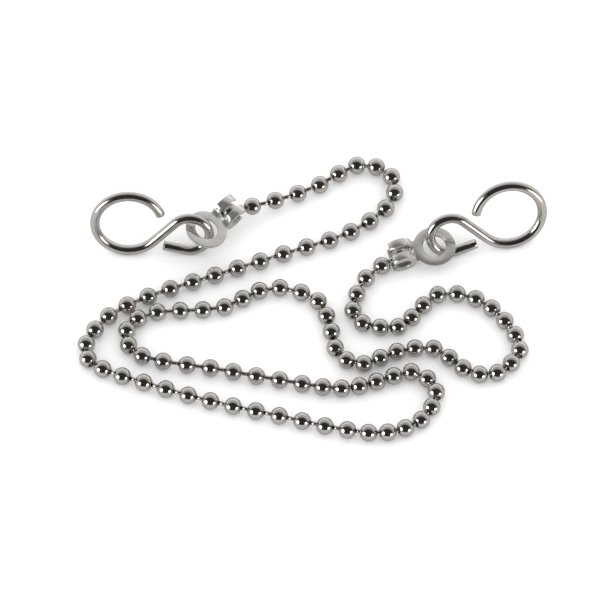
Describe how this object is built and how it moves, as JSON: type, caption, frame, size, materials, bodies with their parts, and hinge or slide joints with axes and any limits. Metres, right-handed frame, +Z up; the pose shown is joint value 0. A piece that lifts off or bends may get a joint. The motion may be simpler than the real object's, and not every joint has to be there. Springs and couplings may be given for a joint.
{
  "type": "ball chain with s-hooks",
  "caption": "Ball chain laid loosely in curves, with a stamped ring end and an open S-hook at each end; its links tilt on their pins, the ring ends swivel and the hooks swing.",
  "frame": {"origin": "centre of the laid chain's outline, on the surface it lies on", "axes": "+Z up; +X to the right along the lay's length, from the left hook to the right hook; +Y away from the viewer"},
  "size_m": [0.0846, 0.0606, 0.0133],
  "materials": {
    "nickel_plate": "bright nickel-plated steel",
    "wire_plate": "bright plated steel wire with fine drawing lines"
  },
  "bodies": {
    "left_end_bead": {"left_end_bead": "nickel_plate"},
    "left_ring_end": {"left_ring_end": "nickel_plate"},
    "left_s_hook": {"left_s_hook": "wire_plate"},
    "link_01": {"link_01": "nickel_plate"},
    "link_02": {"link_02": "nickel_plate"},
    "link_03": {"link_03": "nickel_plate"},
    "link_04": {"link_04": "nickel_plate"},
    "link_05": {"link_05": "nickel_plate"},
    "link_06": {"link_06": "nickel_plate"},
    "link_07": {"link_07": "nickel_plate"},
    "link_08": {"link_08": "nickel_plate"},
    "link_09": {"link_09": "nickel_plate"},
    "link_10": {"link_10": "nickel_plate"},
    "link_11": {"link_11": "nickel_plate"},
    "link_12": {"link_12": "nickel_plate"},
    "link_13": {"link_13": "nickel_plate"},
    "link_14": {"link_14": "nickel_plate"},
    "link_15": {"link_15": "nickel_plate"},
    "link_16": {"link_16": "nickel_plate"},
    "link_17": {"link_17": "nickel_plate"},
    "link_18": {"link_18": "nickel_plate"},
    "link_19": {"link_19": "nickel_plate"},
    "link_20": {"link_20": "nickel_plate"},
    "link_21": {"link_21": "nickel_plate"},
    "link_22": {"link_22": "nickel_plate"},
    "link_23": {"link_23": "nickel_plate"},
    "link_24": {"link_24": "nickel_plate"},
    "link_25": {"link_25": "nickel_plate"},
    "link_26": {"link_26": "nickel_plate"},
    "link_27": {"link_27": "nickel_plate"},
    "link_28": {"link_28": "nickel_plate"},
    "link_29": {"link_29": "nickel_plate"},
    "link_30": {"link_30": "nickel_plate"},
    "link_31": {"link_31": "nickel_plate"},
    "link_32": {"link_32": "nickel_plate"},
    "link_33": {"link_33": "nickel_plate"},
    "link_34": {"link_34": "nickel_plate"},
    "link_35": {"link_35": "nickel_plate"},
    "link_36": {"link_36": "nickel_plate"},
    "link_37": {"link_37": "nickel_plate"},
    "link_38": {"link_38": "nickel_plate"},
    "link_39": {"link_39": "nickel_plate"},
    "link_40": {"link_40": "nickel_plate"},
    "link_41": {"link_41": "nickel_plate"},
    "link_42": {"link_42": "nickel_plate"},
    "link_43": {"link_43": "nickel_plate"},
    "link_44": {"link_44": "nickel_plate"},
    "link_45": {"link_45": "nickel_plate"},
    "link_46": {"link_46": "nickel_plate"},
    "link_47": {"link_47": "nickel_plate"},
    "link_48": {"link_48": "nickel_plate"},
    "link_49": {"link_49": "nickel_plate"},
    "link_50": {"link_50": "nickel_plate"},
    "link_51": {"link_51": "nickel_plate"},
    "right_end_bead": {"right_end_bead": "nickel_plate"},
    "right_ring_end": {"right_ring_end": "nickel_plate"},
    "right_s_hook": {"right_s_hook": "wire_plate"}
  },
  "joints": [
    {"name": "link_25_tilt", "type": "hinge", "parent": "link_26", "child": "link_25", "pos_m": [0.00298, -0.01923, 0.0016], "axis": [0.0844, 0.9964, 0], "range_deg": [-20, 20]},
    {"name": "link_24_tilt", "type": "hinge", "parent": "link_25", "child": "link_24", "pos_m": [0.00956, -0.01853, 0.0016], "axis": [0.2972, -0.9548, 0], "range_deg": [-20, 20]},
    {"name": "link_23_tilt", "type": "hinge", "parent": "link_24", "child": "link_23", "pos_m": [0.01576, -0.01642, 0.0016], "axis": [-0.269, 0.9631, 0], "range_deg": [-20, 20]},
    {"name": "link_22_tilt", "type": "hinge", "parent": "link_23", "child": "link_22", "pos_m": [0.02116, -0.01847, 0.0016], "axis": [-0.8749, -0.4842, 0], "range_deg": [-20, 20]},
    {"name": "link_21_tilt", "type": "hinge", "parent": "link_22", "child": "link_21", "pos_m": [0.02055, -0.02441, 0.0016], "axis": [0.8272, -0.5618, 0], "range_deg": [-20, 20]},
    {"name": "link_20_tilt", "type": "hinge", "parent": "link_21", "child": "link_20", "pos_m": [0.01529, -0.02821, 0.0016], "axis": [-0.2728, 0.9621, 0], "range_deg": [-20, 20]},
    {"name": "link_19_tilt", "type": "hinge", "parent": "link_20", "child": "link_19", "pos_m": [0.00863, -0.02864, 0.0016], "axis": [-0.1531, -0.9882, 0], "range_deg": [-20, 20]},
    {"name": "link_18_tilt", "type": "hinge", "parent": "link_19", "child": "link_18", "pos_m": [0.00083, -0.0271, 0.0016], "axis": [0.2511, 0.968, 0], "range_deg": [-20, 20]},
    {"name": "link_17_tilt", "type": "hinge", "parent": "link_18", "child": "link_17", "pos_m": [-0.00739, -0.02496, 0.0016], "axis": [-0.2395, -0.9709, 0], "range_deg": [-20, 20]},
    {"name": "link_16_tilt", "type": "hinge", "parent": "link_17", "child": "link_16", "pos_m": [-0.01568, -0.02287, 0.0016], "axis": [0.2631, 0.9648, 0], "range_deg": [-20, 20]},
    {"name": "link_15_tilt", "type": "hinge", "parent": "link_16", "child": "link_15", "pos_m": [-0.02372, -0.02048, 0.0016], "axis": [-0.3122, -0.95, 0], "range_deg": [-20, 20]},
    {"name": "link_14_tilt", "type": "hinge", "parent": "link_15", "child": "link_14", "pos_m": [-0.03171, -0.01773, 0.0016], "axis": [0.335, 0.9422, 0], "range_deg": [-20, 20]},
    {"name": "link_13_tilt", "type": "hinge", "parent": "link_14", "child": "link_13", "pos_m": [-0.03889, -0.01445, 0.0016], "axis": [-0.6289, -0.7775, 0], "range_deg": [-20, 20]},
    {"name": "link_12_tilt", "type": "hinge", "parent": "link_13", "child": "link_12", "pos_m": [-0.0403, -0.00874, 0.0016], "axis": [0.8962, -0.4437, 0], "range_deg": [-20, 20]},
    {"name": "link_11_tilt", "type": "hinge", "parent": "link_12", "child": "link_11", "pos_m": [-0.03583, -0.00316, 0.0016], "axis": [-0.5724, 0.8199, 0], "range_deg": [-20, 20]},
    {"name": "link_10_tilt", "type": "hinge", "parent": "link_11", "child": "link_10", "pos_m": [-0.02859, 0.0008, 0.0016], "axis": [0.3858, -0.9226, 0], "range_deg": [-20, 20]},
    {"name": "link_09_tilt", "type": "hinge", "parent": "link_10", "child": "link_09", "pos_m": [-0.02054, 0.00385, 0.0016], "axis": [-0.338, 0.9411, 0], "range_deg": [-20, 20]},
    {"name": "link_08_tilt", "type": "hinge", "parent": "link_09", "child": "link_08", "pos_m": [-0.01247, 0.00682, 0.0016], "axis": [0.3485, -0.9373, 0], "range_deg": [-20, 20]},
    {"name": "link_07_tilt", "type": "hinge", "parent": "link_08", "child": "link_07", "pos_m": [-0.00414, 0.00992, 0.0016], "axis": [-0.3329, 0.943, 0], "range_deg": [-20, 20]},
    {"name": "link_06_tilt", "type": "hinge", "parent": "link_07", "child": "link_06", "pos_m": [0.00415, 0.01302, 0.0016], "axis": [0.4258, -0.9048, 0], "range_deg": [-20, 20]},
    {"name": "link_05_tilt", "type": "hinge", "parent": "link_06", "child": "link_05", "pos_m": [0.01124, 0.01753, 0.0016], "axis": [-0.6938, 0.7201, 0], "range_deg": [-20, 20]},
    {"name": "link_04_slide", "type": "slide", "parent": "link_05", "child": "link_04", "axis": [-0.1625, 0.9867, 0], "range_m": [-0.0003, 0]},
    {"name": "link_03_swing", "type": "hinge", "parent": "link_04", "child": "link_03", "pos_m": [0.01018, 0.02858, 0.0016], "axis": [0, 0, 1], "range_deg": [-20, 5]},
    {"name": "link_02_slide", "type": "slide", "parent": "link_03", "child": "link_02", "axis": [-0.8199, -0.5725, 0], "range_m": [-0.0006, 0]},
    {"name": "link_01_swing", "type": "hinge", "parent": "link_02", "child": "link_01", "pos_m": [-0.00394, 0.02195, 0.00197], "axis": [0, 0, -1], "range_deg": [-5, 20]},
    {"name": "left_end_bead_tilt", "type": "hinge", "parent": "link_01", "child": "left_end_bead", "pos_m": [-0.01222, 0.01829, 0.00343], "axis": [-0.3842, 0.9232, 0], "range_deg": [-20, 20]},
    {"name": "link_27_tilt", "type": "hinge", "parent": "link_26", "child": "link_27", "pos_m": [-0.00476, -0.01785, 0.0016], "axis": [0.1996, 0.9799, 0], "range_deg": [-20, 20]},
    {"name": "link_28_tilt", "type": "hinge", "parent": "link_27", "child": "link_28", "pos_m": [-0.01313, -0.01614, 0.0016], "axis": [-0.2094, -0.9778, 0], "range_deg": [-20, 20]},
    {"name": "link_29_tilt", "type": "hinge", "parent": "link_28", "child": "link_29", "pos_m": [-0.02143, -0.01459, 0.0016], "axis": [0.152, 0.9884, 0], "range_deg": [-20, 20]},
    {"name": "link_30_tilt", "type": "hinge", "parent": "link_29", "child": "link_30", "pos_m": [-0.02958, -0.01287, 0.0016], "axis": [-0.2924, -0.9563, 0], "range_deg": [-20, 20]},
    {"name": "link_31_tilt", "type": "hinge", "parent": "link_30", "child": "link_31", "pos_m": [-0.03346, -0.00825, 0.0016], "axis": [0.9951, 0.0992, 0], "range_deg": [-20, 20]},
    {"name": "link_32_tilt", "type": "hinge", "parent": "link_31", "child": "link_32", "pos_m": [-0.02934, -0.00355, 0.0016], "axis": [-0.3659, 0.9306, 0], "range_deg": [-20, 20]},
    {"name": "link_33_tilt", "type": "hinge", "parent": "link_32", "child": "link_33", "pos_m": [-0.02119, -0.00266, 0.0016], "axis": [0.0402, -0.9992, 0], "range_deg": [-20, 20]},
    {"name": "link_34_tilt", "type": "hinge", "parent": "link_33", "child": "link_34", "pos_m": [-0.01385, -0.00082, 0.0016], "axis": [-0.4811, 0.8767, 0], "range_deg": [-20, 20]},
    {"name": "link_35_tilt", "type": "hinge", "parent": "link_34", "child": "link_35", "pos_m": [-0.00728, 0.00195, 0.0016], "axis": [0.163, -0.9866, 0], "range_deg": [-20, 20]},
    {"name": "link_36_tilt", "type": "hinge", "parent": "link_35", "child": "link_36", "pos_m": [-0.00022, -0.00001, 0.0016], "axis": [0.527, 0.8498, 0], "range_deg": [-20, 20]},
    {"name": "link_37_tilt", "type": "hinge", "parent": "link_36", "child": "link_37", "pos_m": [0.00297, -0.00601, 0.0016], "axis": [-0.9678, -0.2517, 0], "range_deg": [-20, 20]},
    {"name": "link_38_tilt", "type": "hinge", "parent": "link_37", "child": "link_38", "pos_m": [0.00521, -0.01234, 0.0016], "axis": [0.7904, 0.6126, 0], "range_deg": [-20, 20]},
    {"name": "link_39_tilt", "type": "hinge", "parent": "link_38", "child": "link_39", "pos_m": [0.01092, -0.0134, 0.0016], "axis": [0.3987, -0.9171, 0], "range_deg": [-20, 20]},
    {"name": "link_40_tilt", "type": "hinge", "parent": "link_39", "child": "link_40", "pos_m": [0.01708, -0.01111, 0.0016], "axis": [-0.2184, 0.9759, 0], "range_deg": [-20, 20]},
    {"name": "link_41_tilt", "type": "hinge", "parent": "link_40", "child": "link_41", "pos_m": [0.02342, -0.01208, 0.0016], "axis": [-0.5781, -0.816, 0], "range_deg": [-20, 20]},
    {"name": "link_42_tilt", "type": "hinge", "parent": "link_41", "child": "link_42", "pos_m": [0.02874, -0.01589, 0.0016], "axis": [0.4214, 0.9069, 0], "range_deg": [-20, 20]},
    {"name": "link_43_tilt", "type": "hinge", "parent": "link_42", "child": "link_43", "pos_m": [0.03467, -0.01483, 0.0016], "axis": [0.6351, -0.7724, 0], "range_deg": [-20, 20]},
    {"name": "link_44_tilt", "type": "hinge", "parent": "link_43", "child": "link_44", "pos_m": [0.03673, -0.0092, 0.0016], "axis": [-0.9706, -0.2405, 0], "range_deg": [-20, 20]},
    {"name": "link_45_tilt", "type": "hinge", "parent": "link_44", "child": "link_45", "pos_m": [0.03309, -0.0032, 0.0016], "axis": [0.7568, 0.6536, 0], "range_deg": [-20, 20]},
    {"name": "link_46_tilt", "type": "hinge", "parent": "link_45", "child": "link_46", "pos_m": [0.02728, 0.00046, 0.0016], "axis": [-0.2947, -0.9556, 0], "range_deg": [-20, 20]},
    {"name": "link_47_tilt", "type": "hinge", "parent": "link_46", "child": "link_47", "pos_m": [0.02093, -0.00073, 0.0016], "axis": [-0.6569, 0.754, 0], "range_deg": [-20, 20]},
    {"name": "link_48_tilt", "type": "hinge", "parent": "link_47", "child": "link_48", "pos_m": [0.01636, -0.0054, 0.0016], "axis": [0.6426, -0.7662, 0], "range_deg": [-20, 20]},
    {"name": "link_49_swing", "type": "hinge", "parent": "link_48", "child": "link_49", "pos_m": [0.01016, -0.0058, 0.0016], "axis": [0, 0, 1], "range_deg": [-10, 20]},
    {"name": "link_50_slide", "type": "slide", "parent": "link_49", "child": "link_50", "axis": [0.198, 0.9802, 0], "range_m": [-0.0003, 0]},
    {"name": "link_51_swing", "type": "hinge", "parent": "link_50", "child": "link_51", "pos_m": [0.01147, 0.00603, 0.0016], "axis": [0, 0, -1], "range_deg": [-20, 10]},
    {"name": "right_end_bead_tilt", "type": "hinge", "parent": "link_51", "child": "right_end_bead", "pos_m": [0.01478, 0.00808, 0.00232], "axis": [-0.4427, 0.8967, 0], "range_deg": [-14, 14]},
    {"name": "left_ring_end_swivel", "type": "hinge", "parent": "left_end_bead", "child": "left_ring_end", "pos_m": [-0.0152, 0.01705, 0.004], "axis": [0.909, 0.3783, -0.1749], "continuous": true},
    {"name": "left_s_hook_swing", "type": "hinge", "parent": "left_ring_end", "child": "left_s_hook", "pos_m": [-0.01908, 0.01244, 0.00564], "axis": [0.3974, -0.2988, -0.8677], "range_deg": [-55, 55]},
    {"name": "right_ring_end_swivel", "type": "hinge", "parent": "right_end_bead", "child": "right_ring_end", "pos_m": [0.0159, 0.00863, 0.00267], "axis": [-0.8644, -0.4268, -0.2658], "continuous": true},
    {"name": "right_s_hook_swing", "type": "hinge", "parent": "right_ring_end", "child": "right_s_hook", "pos_m": [0.02196, 0.01052, 0.00237], "axis": [0.5964, -0.241, -0.7657], "range_deg": [-45, 45]}
  ]
}
